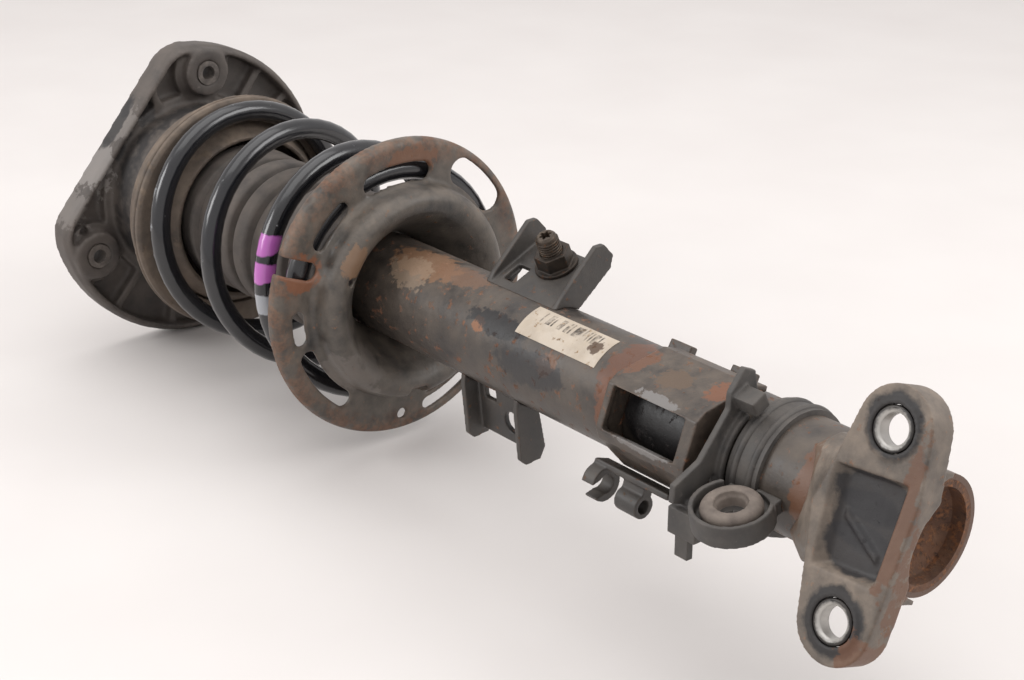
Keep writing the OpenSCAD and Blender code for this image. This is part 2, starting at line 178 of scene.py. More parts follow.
@dataclass(frozen=True)
class WornFinish:
    """A used surface: its own colour in clouds, rust on spots and edges, and dust on top.

    Args:
        name: The material's name.
        colours: Main colour, second colour in broad clouds, fresh rust or whatever shows
            through, old rust, and dust.
        rust_amount: Share of the surface that spots of rust cover, 0 to 1.
        edge_amount: How strongly raised edges are worn to rust.
        dust_amount: Strength of the dust.
        cloud_mm: Size of the clouds.
        spot_mm: Size of the rust spots.
        grit_mm: Size of the surface's grain.
        grit_depth: Height of the grain in mm.
        roughness: Roughness of the clean surface.
        metallic: Metallic share.
        coat: Strength of a gloss coat.
        stripes: Faded plain stripes between two places along X and two angles about the axis.
        rust_band: Inner and outer radius in mm where rust is much heavier.
        marks: Local marks, painted last.
    """

    name: str
    colours: tuple[str, str, str, str, str]
    rust_amount: float = 0.3
    edge_amount: float = 0.0
    dust_amount: float = 0.4
    cloud_mm: float = 35.0
    spot_mm: float = 7.0
    grit_mm: float = 0.9
    grit_depth: float = 0.06
    roughness: float = 0.45
    metallic: float = 0.0
    coat: float = 0.0
    stripes: tuple[float, float, float, float] | None = None
    rust_band: tuple[float, float] | None = None
    marks: tuple[Mark, ...] = field(default_factory=tuple)

    def build(self) -> bpy.types.Material:
        """Makes the material.

        Returns:
            The finished material.
        """
        material = empty_material(self.name)
        tree = material.node_tree
        place = add(tree, "TexCoord").outputs["Object"]
        base, cloud, fresh, old, dusty = (linear(colour) for colour in self.colours)
        clouds = self._mask(tree, place, self.cloud_mm, 0.40, 0.62, 1.0)
        colour = add(tree, "Mix", COLOURS, {"Factor": clouds, 6: base, 7: cloud}).outputs[2]
        rust = self._rust_mask(tree, place)
        ages = self._mask(tree, place, self.spot_mm * 0.6, 0.38, 0.62, 4.0)
        tone = add(tree, "Mix", COLOURS, {"Factor": ages, 6: old, 7: fresh}).outputs[2]
        dust = self._dust_mask(tree, place)
        layers = [(rust, tone), (dust, dusty)]
        if self.stripes:
            layers.append((self._stripe_mask(tree, place), linear(STRIPE_INK)))
        layers += [(self._mark_mask(tree, place, mark), linear(mark.colour)) for mark in self.marks]
        for share, tint in layers:
            colour = add(tree, "Mix", COLOURS, {"Factor": share, 6: colour, 7: tint}).outputs[2]
        worn = add(tree, "Math", MAXIMUM, {0: rust, 1: dust}).outputs[0]
        most = max(self.roughness, DUST_ROUGHNESS)
        feeds = {"Value": worn, "To Min": self.roughness, "To Max": most}
        rough = add(tree, "MapRange", None, feeds).outputs["Result"]
        feeds = {
            "Base Color": colour,
            "Roughness": rough,
            "Metallic": self.metallic,
            "Normal": self._grain(tree, place, rust),
            "Coat Weight": self.coat,
            "Coat Roughness": 0.12,
        }
        shader = add(tree, "BsdfPrincipled", None, feeds)
        add(tree, "OutputMaterial", None, {"Surface": shader.outputs["BSDF"]})
        return material

    def _mask(
        self, tree: Any, place: Any, size_mm: float, low: float, high: float, seed: float
    ) -> Any:
        """Cuts a cloudy pattern into a soft mask.

        Args:
            tree: The node tree.
            place: The coordinates.
            size_mm: Size of the pattern.
            low: Value of the pattern where the mask starts.
            high: Value where it is full.
            seed: Shifts the pattern.

        Returns:
            The mask's socket.
        """
        shifted = add(
            tree, "Mapping", None, {"Vector": place, "Location": (seed, seed * 0.7, -seed)}
        ).outputs["Vector"]
        feeds = {"Vector": shifted, "Scale": 1 / (size_mm * MM), "Detail": 6.0, "Roughness": 0.62}
        noise = add(tree, "TexNoise", None, feeds).outputs["Fac"]
        feeds = {"Value": noise, "From Min": low, "From Max": high}
        return add(tree, "MapRange", CLAMPED, feeds).outputs["Result"]

    def _rust_mask(self, tree: Any, place: Any) -> Any:
        """Rust on spots, on raised edges and in the rusty band, as one mask."""
        start = 0.74 - 0.42 * self.rust_amount
        mask = self._mask(tree, place, self.spot_mm, start, start + 0.07, 2.0)
        if self.edge_amount > 0:
            point = add(tree, "NewGeometry").outputs["Pointiness"]
            feeds = {"Value": point, "From Min": EDGE_STARTS, "From Max": EDGE_FULL}
            feeds["To Max"] = self.edge_amount
            edge = add(tree, "MapRange", CLAMPED, feeds).outputs["Result"]
            ragged = self._mask(tree, place, self.spot_mm * 0.8, 0.36, 0.60, 3.0)
            worn = add(tree, "Math", MULTIPLY, {0: edge, 1: ragged}).outputs[0]
            feeds = {0: mask, 1: worn}
            mask = add(tree, "Math", {"operation": "ADD", "use_clamp": True}, feeds).outputs[0]
        if self.rust_band:
            inner, outer = (r * MM for r in self.rust_band)
            flat = add(tree, "VectorMath", MULTIPLY, {0: place, 1: (0, 1, 1)})
            radius = add(tree, "VectorMath", {"operation": "LENGTH"}, {0: flat.outputs[0]})
            feeds = {"Value": radius.outputs["Value"], "From Min": inner, "From Max": outer}
            band = add(tree, "MapRange", CLAMPED, feeds).outputs["Result"]
            heavy = self._mask(tree, place, self.spot_mm * 2.2, 0.40, 0.52, 5.0)
            more = add(tree, "Math", MULTIPLY, {0: band, 1: heavy}).outputs[0]
            mask = add(tree, "Math", MAXIMUM, {0: mask, 1: more}).outputs[0]
        return mask

    def _dust_mask(self, tree: Any, place: Any) -> Any:
        """Dust in patches, thicker on surfaces that face up."""
        normal = add(tree, "NewGeometry").outputs["Normal"]
        height = add(tree, "SeparateXYZ", None, {"Vector": normal}).outputs["Z"]
        feeds = {"Value": height, "From Min": -0.8, "From Max": 1.0, "To Min": 0.35, "To Max": 1.0}
        facing = add(tree, "MapRange", None, feeds).outputs["Result"]
        patch = self._mask(tree, place, self.cloud_mm * 0.5, 0.30, 0.75, 6.0)
        both = add(tree, "Math", MULTIPLY, {0: facing, 1: patch}).outputs[0]
        return add(tree, "Math", MULTIPLY, {0: both, 1: self.dust_amount}).outputs[0]

    def _stripe_mask(self, tree: Any, place: Any) -> Any:
        """Plain stripes of uneven width, worn thin, which carry no code."""
        x0, x1, low, high = self.stripes
        apart = add(tree, "SeparateXYZ", None, {"Vector": place})
        step = add(tree, "Math", MULTIPLY, {0: apart.outputs["X"], 1: 1 / MM}).outputs[0]
        whole = add(tree, "Math", {"operation": "FLOOR"}, {0: step}).outputs[0]
        chance = add(tree, "TexWhiteNoise", {"noise_dimensions": "1D"}, {"W": whole})
        inked = add(tree, "Math", {"operation": "GREATER_THAN"}, {0: chance.outputs[0], 1: 0.45})
        mask = inked.outputs[0]
        back = add(tree, "Math", MULTIPLY, {0: apart.outputs["Y"], 1: -1.0}).outputs[0]
        feeds = {0: apart.outputs["Z"], 1: back}
        angle = add(tree, "Math", {"operation": "ARCTAN2"}, feeds).outputs[0]
        bounds = (
            (apart.outputs["X"], "GREATER_THAN", x0 * MM),
            (apart.outputs["X"], "LESS_THAN", x1 * MM),
            (angle, "GREATER_THAN", math.radians(low)),
            (angle, "LESS_THAN", math.radians(high)),
        )
        for value, test, limit in bounds:
            inside = add(tree, "Math", {"operation": test}, {0: value, 1: limit}).outputs[0]
            mask = add(tree, "Math", MULTIPLY, {0: mask, 1: inside}).outputs[0]
        worn = self._mask(tree, place, 5.0, 0.62, 0.40, 7.0)
        return add(tree, "Math", MULTIPLY, {0: mask, 1: worn}).outputs[0]

    def _mark_mask(self, tree: Any, place: Any, mark: Mark) -> Any:
        """The ragged patch of one mark."""
        scale = 1 / (mark.grain * MM)
        feeds = {"Vector": place, "Scale": scale, "Detail": 5.0, "Roughness": 0.6}
        wander = add(tree, "TexNoise", None, feeds).outputs["Fac"]
        centre = tuple(c * MM for c in mark.centre)
        away = add(tree, "VectorMath", {"operation": "SUBTRACT"}, {0: place, 1: centre}).outputs[0]
        scaled = tuple(1 / (s * MM) for s in mark.size)
        unit = add(tree, "VectorMath", MULTIPLY, {0: away, 1: scaled}).outputs[0]
        reach = add(tree, "VectorMath", {"operation": "LENGTH"}, {0: unit}).outputs["Value"]
        feeds = {0: wander, 1: 2 * mark.ragged, 2: reach}
        edge = add(tree, "Math", {"operation": "MULTIPLY_ADD"}, feeds).outputs[0]
        middle = 1.0 + mark.ragged
        feeds = {"Value": edge, "From Min": middle + 0.06, "From Max": middle - 0.10}
        feeds["To Max"] = mark.strength
        return add(tree, "MapRange", CLAMPED, feeds).outputs["Result"]

    def _grain(self, tree: Any, place: Any, rust: Any) -> Any:
        """The surface's grain, with rust standing a little proud of it."""
        feeds = {"Vector": place, "Scale": 1 / (self.grit_mm * MM), "Detail": 4.0}
        fine = add(tree, "TexNoise", None, feeds).outputs["Fac"]
        feeds = {"Vector": place, "Scale": 1 / (self.grit_mm * 6 * MM), "Detail": 3.0}
        coarse = add(tree, "TexNoise", None, feeds).outputs["Fac"]
        feeds = {"Height": coarse, "Distance": self.grit_depth * 4 * MM, "Strength": 0.8}
        slow = add(tree, "Bump", None, feeds).outputs["Normal"]
        feeds = {"Height": rust, "Distance": 0.12 * MM, "Strength": 0.7, "Normal": slow}
        raised = add(tree, "Bump", None, feeds).outputs["Normal"]
        depth = self.grit_depth * MM
        feeds = {"Height": fine, "Distance": depth, "Strength": 1.0, "Normal": raised}
        return add(tree, "Bump", None, feeds).outputs["Normal"]


def around(angle: float, radius: float, x: float) -> tuple[float, float, float]:
    """A point about the strut's axis.

    Args:
        angle: Turn up from -Y, in degrees.
        radius: Distance from the axis in mm.
        x: Place along the axis in mm.

    Returns:
        The point in mm.
    """
    turn = math.radians(angle)
    return (x, -radius * math.cos(turn), radius * math.sin(turn))


def stains(*rows: tuple) -> tuple[Mark, ...]:
    """Marks set about the strut's axis.

    Args:
        rows: Angle up from -Y, radius and place along the axis, then the rest of each mark.

    Returns:
        The marks, in order.
    """
    return tuple(Mark(around(*row[:3]), *row[3:]) for row in rows)


# Satin black chassis paint on drawn steel tube: greyed by dust, with spots of rust, and painted
# shade on the tube inside the pocket's window.
TUBE_PAINT = WornFinish(
    "satin_black_chassis_paint",
    ("#272525", "#3f3a36", "#7a5038", "#482f21", "#7a6d60"),
    rust_amount=0.38,
    dust_amount=0.58,
    cloud_mm=30,
    spot_mm=5,
    roughness=0.33,
    marks=stains(
        (74, 27.5, 272, (26, 12, 9), "#826249", 0.75, 0.9, 5),
        (78, 27.5, 300, (20, 8, 7), "#7a5a44", 0.6, 0.9, 4),
        (55, 27.5, 268, (16, 10, 10), "#94806c", 0.55, 0.9, 4),
        (33, 27.5, 334, (4.5, 4.5, 4.5), "#8a5d3e", 0.85, 0.5, 3),
        (25, 27.5, 389, (7, 6, 6), "#70503b", 0.8, 0.7, 4),
        (41, 27.5, 346, (22, 6, 6), "#17181b", 0.85, 0.8, 5),
        (12, 27.5, 378, (26, 8, 9), "#2c2b2c", 0.8, 0.8, 6),
        (55, 27.5, 431, (8, 24, 24), "#664230", 0.8, 0.9, 4),
        (10, 27.5, 436, (10, 14, 26), "#6b4530", 0.8, 0.9, 5),
        (30, 27.5, 557, (9, 40, 40), "#6d4a35", 0.75, 0.9, 5),
        (0, 0, 600, (13, 60, 60), "#573c2c", 0.85, 0.6, 5),
        # Painted shade: a near-black patch on the tube seen through the pocket's window, where the
        # hollow is in shade.
        (20, 27.5, 470, (26, 12, 17), "#131214", 0.93, 0.1, 6),
    ),
)

# Scaled mild steel: nearly all orange and brown rust, rough like fine sandpaper.
RUSTY_STEEL = WornFinish(
    "scaled_mild_steel",
    ("#4b3124", "#64432f", "#80512f", "#36231a", "#7d6856"),
    rust_amount=0.60,
    dust_amount=0.35,
    cloud_mm=12,
    spot_mm=4,
    grit_mm=1.2,
    grit_depth=0.16,
    roughness=0.80,
)

# Black paint lifting off pressed steel sheet: rust creeps in from the rim and the slots' lips.
SEAT_PAINT = WornFinish(
    "lifting_black_paint_on_pressed_steel",
    ("#292827", "#47423d", "#7a5036", "#4d3829", "#857a6e"),
    rust_amount=0.27,
    edge_amount=1.0,
    dust_amount=0.70,
    cloud_mm=26,
    spot_mm=4.5,
    grit_mm=1.0,
    grit_depth=0.09,
    roughness=0.32,
    rust_band=(68, 92),
    marks=stains(
        (20, 72, 241, (5, 12, 11), "#7c4c31", 0.75, 0.7, 4),
        # Pale dust together with a painted reflection of the floor on the seat's lower side.
        (-40, 60, 250, (12, 20, 20), "#77706a", 0.45, 0.8, 9),
        (95, 72, 241, (6, 16, 9), "#6f4a33", 0.7, 0.8, 5),
        (35, 52, 257, (6, 9, 9), "#85664c", 0.6, 0.9, 4),
    ),
)

# Satin black paint on folded brackets: cleaner, with rust where it was welded.
BRACKET_PAINT = WornFinish(
    "satin_black_bracket_paint",
    ("#2b2a2a", "#3a3735", "#74503a", "#42301f", "#6b635a"),
    rust_amount=0.28,
    edge_amount=0.5,
    dust_amount=0.45,
    spot_mm=4,
    roughness=0.40,
)

# Thin brown-black paint over pressed steel, rubbed to bare metal at the window's edges, with
# painted shade on the window's inner walls.
POCKET_PAINT = WornFinish(
    "rubbed_brown_black_paint",
    ("#2b2623", "#453c35", "#7a5036", "#4a3121", "#7c6f62"),
    rust_amount=0.36,
    edge_amount=0.8,
    dust_amount=0.58,
    cloud_mm=20,
    spot_mm=4.5,
    roughness=0.35,
    marks=stains(
        # Painted shade: a near-black patch on the pocket's inner walls at the window, where the
        # hollow is in shade.
        (20, 33, 470, (24, 6.5, 12), "#161517", 0.93, 0.1, 4),
        (37, 42.5, 474, (13, 5, 2.0), "#7d7a78", 0.85, 1.0, 2.5),
        (4.5, 42, 473, (16, 5, 2.4), "#7a7775", 0.85, 1.0, 2.5),
        (58, 33, 470, (9, 8, 8), "#5f4c3b", 0.8, 0.9, 3),
        (66, 30, 494, (7, 10, 10), "#7a4c31", 0.8, 0.9, 3),
        (60, 30, 446, (6, 12, 12), "#6d4730", 0.8, 0.9, 4),
    ),
)

# Road dust baked on to worn black paint: a light brown film over the flanks, rubbed black where
# bolts were clamped, and painted shade darkening the pan between the flanks.
DUSTY_BRACKET = WornFinish(
    "road_dusted_bracket_paint",
    ("#3a3633", "#5d544b", "#80573b", "#4a3325", "#998b7d"),
    edge_amount=0.55,
    dust_amount=0.95,
    cloud_mm=34,
    spot_mm=5,
    roughness=0.42,
    marks=stains(
        (75.5, 52.5, 593, (15.5, 15.5, 15.5), "#202022", 0.93, 0.25, 7),
        (-30, 54.1, 593, (15.5, 15.5, 15.5), "#202022", 0.93, 0.25, 7),
        # Painted shade: near-black patches in the pan between the flanks, next to the tube.
        (41, 32, 591, (19, 10, 12), "#2b2a2c", 0.92, 0.3, 8),
        (20, 28, 590, (20, 8, 15), "#29282a", 0.92, 0.3, 8),
        (-1, 32, 591, (18, 10, 12), "#2b2a2c", 0.92, 0.3, 8),
        (20, 32, 609, (5, 14, 60), "#65422d", 0.7, 0.9, 6),
        (-42, 60, 606, (9, 14, 14), "#6b462f", 0.7, 0.9, 5),
        (20, 26, 548, (9, 30, 34), "#68503e", 0.7, 0.9, 5),
    ),
)

# Epoxy coating on spring wire: deep gloss black with pale stone chips.
SPRING_ENAMEL = WornFinish(
    "gloss_black_spring_epoxy",
    ("#101115", "#16171c", "#8b8c8f", "#4b4c50", "#4a4642"),
    rust_amount=0.13,
    dust_amount=0.12,
    cloud_mm=60,
    spot_mm=5,
    grit_mm=2.0,
    grit_depth=0.02,
    roughness=0.22,
    coat=0.5,
)

# Nitrile grommet bleached by dust: paler than the rubber round it.
GROMMET_RUBBER = WornFinish(
    "dust_bleached_nitrile_rubber",
    ("#59504a", "#665d55", "#4a433e", "#3f3935", "#8d8177"),
    rust_amount=0.15,
    dust_amount=0.70,
    cloud_mm=12,
    spot_mm=3,
    grit_mm=0.6,
    grit_depth=0.03,
    roughness=0.72,
)

# Blacked steel collar, with its mouth rubbed bright by the bolt.
COLLAR_STEEL = WornFinish(
    "blacked_collar_steel",
    ("#202022", "#2c2a29", "#6b4a34", "#3d2a1e", "#6f665d"),
    rust_amount=0.15,
    dust_amount=0.30,
    cloud_mm=9,
    spot_mm=2,
    roughness=0.30,
    metallic=0.4,
    marks=(
        Mark((EAR_X, -17.8, 50.6), (8.6, 8.6, 8.6), "#bdbab5", 0.95, 0.10, 2),
        Mark((EAR_X, -46.1, -27.4), (8.6, 8.6, 8.6), "#bdbab5", 0.95, 0.10, 2),
    ),
)

# Moulded natural-rubber bellows: matt grey-brown, with pale road dust in its folds.
BOOT_RUBBER = WornFinish(
    "dusty_moulded_rubber",
    ("#423e3c", "#504a46", "#332f2d", "#2b2826", "#7b7168"),
    rust_amount=0.20,
    dust_amount=0.60,
    cloud_mm=30,
    spot_mm=9,
    grit_mm=0.7,
    grit_depth=0.03,
    roughness=0.70,
)

# Glass-filled nylon seat under caked dust: brown and matt.
SEAT_NYLON = WornFinish(
    "dust_caked_glass_filled_nylon",
    ("#453e39", "#5a4f46", "#64574b", "#453b33", "#8a7a6a"),
    rust_amount=0.40,
    dust_amount=0.75,
    cloud_mm=26,
    spot_mm=8,
    roughness=0.72,
)

# Die-cast aluminium alloy gone dark: as-cast grain, oily dust and pale scuffs on its edges, with
# painted shade in its tray and recess.
CAST_ALLOY = WornFinish(
    "dust_darkened_die_cast_alloy",
    ("#393533", "#4b4541", "#8a827b", "#5b544f", "#776d65"),
    rust_amount=0.16,
    edge_amount=0.55,
    dust_amount=0.60,
    cloud_mm=36,
    spot_mm=6,
    grit_mm=1.1,
    grit_depth=0.07,
    roughness=0.55,
    marks=stains(
        (26, 72, 8, (14, 12, 22), "#8f8a86", 0.6, 1.0, 5),
        (50, 74, 8, (14, 14, 14), "#86807b", 0.5, 1.0, 5),
        (2, 82, 9, (12, 10, 14), "#7f7974", 0.5, 1.0, 4),
        # Painted shade: near-black patches in the mount's recess and a near-black disc over the
        # tray's floor.
        (40, 57, 6, (7, 14, 34), "#1f1e1f", 0.85, 0.5, 12),
        (0, 0, 24, (20, 62, 62), "#201f20", 0.85, 0.3, 10),
        (62, 60, 6, (7, 14, 14), "#232122", 0.7, 0.6, 10),
    ),
)

# Carbon-black filled nylon holder: matt grey-black with scuffs.
HOLDER_NYLON = WornFinish(
    "carbon_black_nylon",
    ("#333232", "#454341", "#6b6560", "#4d4947", "#7a7168"),
    rust_amount=0.20,
    edge_amount=0.4,
    dust_amount=0.45,
    cloud_mm=25,
    spot_mm=5,
    roughness=0.55,
)

# Black phosphate on a flange nut: charcoal with brown bloom.
NUT_PHOSPHATE = WornFinish(
    "black_phosphate",
    ("#26221f", "#3b332c", "#6b452d", "#3d291d", "#5a5046"),
    rust_amount=0.35,
    edge_amount=0.5,
    dust_amount=0.35,
    cloud_mm=8,
    spot_mm=2.5,
    grit_mm=0.5,
    grit_depth=0.03,
    metallic=0.5,
)

# Oiled black stud gone brown: dark metal with a warm bloom on its thread.
STUD_STEEL = WornFinish(
    "browned_stud_steel",
    ("#3d342d", "#54483d", "#7a583e", "#45301f", "#7f776d"),
    rust_amount=0.35,
    dust_amount=0.30,
    cloud_mm=8,
    spot_mm=2.5,
    grit_mm=0.5,
    grit_depth=0.02,
    roughness=0.42,
    metallic=0.6,
)

# Dull zinc plating: pale warm grey metal with white bloom.
ZINC_PLATE = WornFinish(
    "dull_zinc_plate",
    ("#7f7b74", "#938e86", "#6d5a47", "#5a4a3c", "#8a8378"),
    rust_amount=0.22,
    dust_amount=0.35,
    cloud_mm=10,
    spot_mm=3,
    grit_mm=0.6,
    grit_depth=0.02,
    roughness=0.38,
    metallic=0.9,
)

# Ground bearing and hydraulic steel: bright and clean, as it stays inside.
GROUND_STEEL = WornFinish(
    "ground_steel",
    ("#a9a9a8", "#b6b5b3", "#918c84", "#7f7a72", "#8d8982"),
    rust_amount=0.05,
    dust_amount=0.10,
    cloud_mm=12,
    spot_mm=3,
    grit_mm=0.4,
    grit_depth=0.01,
    roughness=0.26,
    metallic=1.0,
)

# Polyurethane foam of the bump stop: pale tan, finely pitted.
BUMP_FOAM = WornFinish(
    "microcellular_foam",
    ("#b5a377", "#c4b389", "#93835c", "#7c6d4a", "#a39573"),
    rust_amount=0.25,
    dust_amount=0.25,
    cloud_mm=14,
    spot_mm=2,
    grit_mm=0.6,
    grit_depth=0.08,
    roughness=0.85,
)

# Filled PTFE slide band: dark green and waxy.
SLIDE_BAND = WornFinish(
    "filled_ptfe",
    ("#1f4c39", "#255a44", "#1a3d2f", "#173527", "#2d4f40"),
    rust_amount=0.1,
    dust_amount=0.1,
    grit_depth=0.01,
    roughness=0.5,
)

# Vinyl label aged outdoors: off-white with brown stains, its print worn down to plain stripes.
LABEL_VINYL = WornFinish(
    "aged_white_vinyl",
    ("#b1a596", "#c2b7a9", "#9a7c58", "#6b5238", "#bcab93"),
    rust_amount=0.34,
    dust_amount=0.45,
    cloud_mm=12,
    spot_mm=4,
    grit_mm=1.0,
    grit_depth=0.01,
    roughness=0.42,
    stripes=(367.0, 410.0, 63.0, 78.0),
    marks=stains((62, 28, 411, (4, 4, 4), "#4a3320", 0.9, 0.9, 3)),
)


# ---------------------------------------------------------------- mesh tools


def finish_piece(
    name: str,
    mesh: bmesh.types.BMesh,
    material: bpy.types.Material,
    body: Body,
    nodes: tuple[str, ...] = (),
) -> bpy.types.Object:
    """Turns a bmesh into a dressed piece on its body.

    Args:
        name: Name of the piece.
        mesh: The bmesh, which is freed.
        material: Its material.
        body: The body it rides on.
        nodes: The CAD nodes that it stands for.

    Returns:
        The new object.
    """
    for face in mesh.faces:
        face.smooth = True
    data = bpy.data.meshes.new(name)
    mesh.to_mesh(data)
    mesh.free()
    data.materials.append(material)
    piece = placed(name, data)
    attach(piece, body.value)
    if nodes:
        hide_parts(*nodes)
    LOG.info("%s: %d faces on %s", name, len(data.polygons), body.value)
    return piece


def tidy(mesh: bmesh.types.BMesh, gap: float = 1e-5) -> None:
    """Merges doubles and turns the normals outwards."""
    bmesh.ops.remove_doubles(mesh, verts=mesh.verts, dist=gap)
    bmesh.ops.recalc_face_normals(mesh, faces=mesh.faces)


def bevel_corners(
    mesh: bmesh.types.BMesh, offset: float, degrees: float = 30.0, segments: int = 3
) -> None:
    """Rounds every edge sharper than an angle.

    Args:
        mesh: The bmesh.
        offset: Width of the rounding in mm.
        degrees: Least angle between the faces of an edge that is rounded.
        segments: Steps across the rounding.
    """
    limit = math.radians(degrees)
    sharp = [e for e in mesh.edges if len(e.link_faces) == 2 and e.calc_face_angle(0) > limit]
    bmesh.ops.bevel(
        mesh,
        geom=sharp,
        offset=offset * MM,
        affect="EDGES",
        segments=segments,
        profile=0.5,
        material=-1,
        clamp_overlap=True,
    )


def lathe(profile: list[tuple[float, float]], steps: int = 144) -> bmesh.types.BMesh:
    """Turns a closed profile about the strut's axis.

    Args:
        profile: Points of axial place and radius in mm, in order round the section.
        steps: Steps round the axis.

    Returns:
        The turned solid.
    """
    mesh = bmesh.new()
    verts = [mesh.verts.new((x * MM, -r * MM, 0)) for x, r in profile]
    edges = [mesh.edges.new(pair) for pair in zip(verts, verts[1:] + verts[:1])]
    bmesh.ops.spin(
        mesh,
        geom=verts + edges,
        cent=(0, 0, 0),
        axis=AXIS,
        angle=2 * math.pi,
        steps=steps,
        use_merge=True,
    )
    tidy(mesh)
    return mesh


def sweep(mesh: bmesh.types.BMesh, path: list[Matrix], radii: list[float], sides: int = 10) -> None:
    """Draws a round bead along a path, with a radius of its own at each step.

    Args:
        mesh: The bmesh that the closed bead is added to.
        path: Frames along the path, each with its Z along it, in metres.
        radii: Radius at each frame in mm.
        sides: Sides of the bead.
    """
    made = bmesh.ops.create_circle(mesh, cap_ends=True, segments=sides, radius=radii[0] * MM)
    verts = made["verts"]
    bmesh.ops.transform(mesh, matrix=path[0], verts=verts)
    rim = list({edge for vert in verts for edge in vert.link_edges})
    for before, after, r0, r1 in zip(path, path[1:], radii, radii[1:]):
        grown = bmesh.ops.extrude_edge_only(mesh, edges=rim)["geom"]
        verts = {g for g in grown if isinstance(g, bmesh.types.BMVert)}
        edges = (g for g in grown if isinstance(g, bmesh.types.BMEdge))
        rim = [edge for edge in edges if all(v in verts for v in edge.verts)]
        grow = Matrix.Scale(r1 / r0, 4)
        bmesh.ops.transform(mesh, matrix=after @ grow @ before.inverted(), verts=list(verts))
    bmesh.ops.holes_fill(mesh, edges=rim, sides=0)


def soften(node: str, voxel: float, passes: int = 3) -> bmesh.types.BMesh:
    """Copies a CAD node with its sharp edges worn round, as on a pressing or a casting.

    Args:
        node: The CAD node.
        voxel: Grid of the remesh in mm, which sets how round the edges become.
        passes: Passes of smoothing.

    Returns:
        The softened copy.
    """
    mesh = bmesh.new()
    mesh.from_mesh(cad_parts[node].data)
    bmesh.ops.remove_doubles(mesh, verts=mesh.verts, dist=1e-6)
    data = bpy.data.meshes.new("softening")
    mesh.to_mesh(data)
    mesh.free()
    holder = placed("softening", data)
    remesh = holder.modifiers.new("remesh", "REMESH")
    remesh.mode = "VOXEL"
    remesh.voxel_size = voxel * MM
    depsgraph = bpy.context.evaluated_depsgraph_get()
    result = bmesh.new()
    result.from_mesh(holder.evaluated_get(depsgraph).to_mesh())
    bpy.data.objects.remove(holder)
    bpy.data.meshes.remove(data)
    for _ in range(passes):
        bmesh.ops.smooth_vert(
            result,
            verts=result.verts,
            factor=0.5,
            use_axis_x=True,
            use_axis_y=True,
            use_axis_z=True,
        )
    return result


def dress(node: str, material: bpy.types.Material) -> None:
    """Gives a CAD node that stays its material."""
    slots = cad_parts[node].data.materials
    slots.clear()
    slots.append(material)


# ---------------------------------------------------------------- sub-assemblies


@dataclass
class CoilSpring:
    """The black coil spring, with flat end turns.

    Args:
        wire_radius: Radius of the wire.
        radius: Radius from the axis to the wire's middle.
        top_x: Place of the first turn.
        bottom_x: Place of the last turn.
        turns: Turns, end turns counted.
        start: Angle of the wire's first end.
        seat_x: Place the spring is pressed against when the damper shortens. Not used.
        travel: Travel of the damper. Not used.
        slack: Gap left at the upper seat when the spring is fully shortened. Not used.
        flat_ends: Shares of the wire where it leaves the flat first turn and meets the last.
        ease: Share of the climb that each change of slope takes.
        steps_per_turn: Steps of the wire in one turn.
    """

    wire_radius: float = 6.0
    radius: float = 66.0
    top_x: float = 79.0
    bottom_x: float = 230.0
    turns: float = 3.6
    start: float = -40.0
    seat_x: float = 236.0
    travel: float = 70.0
    slack: float = 0.6
    flat_ends: tuple[float, float] = (0.10, 0.88)
    ease: float = 0.05
    steps_per_turn: int = 48

    def _advance(self, share: float) -> float:
        """Axial place at a share of the wire's length, eased out of its flat ends."""
        low, high = self.flat_ends
        ease = self.ease
        t = min(max((share - low) / (high - low), 0.0), 1.0)
        if t < ease:
            t = t * t / (2 * ease)
        elif t > 1 - ease:
            t = 1 - ease - (1 - t) ** 2 / (2 * ease)
        else:
            t -= ease / 2
        return self.top_x + (self.bottom_x - self.top_x) * t / (1 - ease)

    def build(self) -> None:
        """Winds the wire step by step."""
        mesh = bmesh.new()
        made = bmesh.ops.create_circle(
            mesh, cap_ends=True, segments=20, radius=self.wire_radius * MM
        )
        turn = Matrix.Rotation(math.radians(self.start), 4, "X")
        place = Matrix.Translation((self.top_x * MM, self.radius * MM, 0))
        bmesh.ops.transform(mesh, matrix=turn @ place, verts=made["verts"])
        steps = round(self.turns * self.steps_per_turn)
        rim = list(mesh.edges)
        for i in range(steps):
            rise = self._advance((i + 1) / steps) - self._advance(i / steps)
            made = bmesh.ops.spin(
                mesh,
                geom=rim,
                cent=(0, 0, 0),
                axis=AXIS,
                dvec=AXIS * rise * MM,
                angle=2 * math.pi * self.turns / steps,
                steps=1,
            )
            rim = [g for g in made["geom_last"] if isinstance(g, bmesh.types.BMEdge)]
        bmesh.ops.holes_fill(mesh, edges=rim, sides=0)
        tidy(mesh)
        bevel_corners(mesh, 1.2, 60)
        look = self._enamel().build()
        piece = finish_piece(
            "coil_spring_wire", mesh, look, Body.DAMPER, ("coil_spring",)
        )
        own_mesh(piece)

    def _enamel(self) -> WornFinish:
        """The spring's enamel with its paint marks and its chipped first turn."""
        r = self.radius + self.wire_radius - 1
        marks = stains(
            (24.5, r, 199, (12, 14, 5.8), "#b05fae", 1.0, 0.2, 4),
            (12, r, 201, (12, 14, 5.8), "#b362b0", 1.0, 0.2, 4),
            (-2, r, 203, (12, 14, 5.6), "#9a9da2", 0.9, 0.3, 4),
            (8, r, 84, (4, 6, 3), "#85878b", 0.8, 1.4, 1.6),
            (-6, r, 86, (3, 6, 3), "#7f8286", 0.8, 1.4, 1.4),
            (25, r, 82, (3, 6, 4), "#85888c", 0.8, 1.4, 1.5),
        )
        return WornFinish(**{**SPRING_ENAMEL.__dict__, "marks": marks})


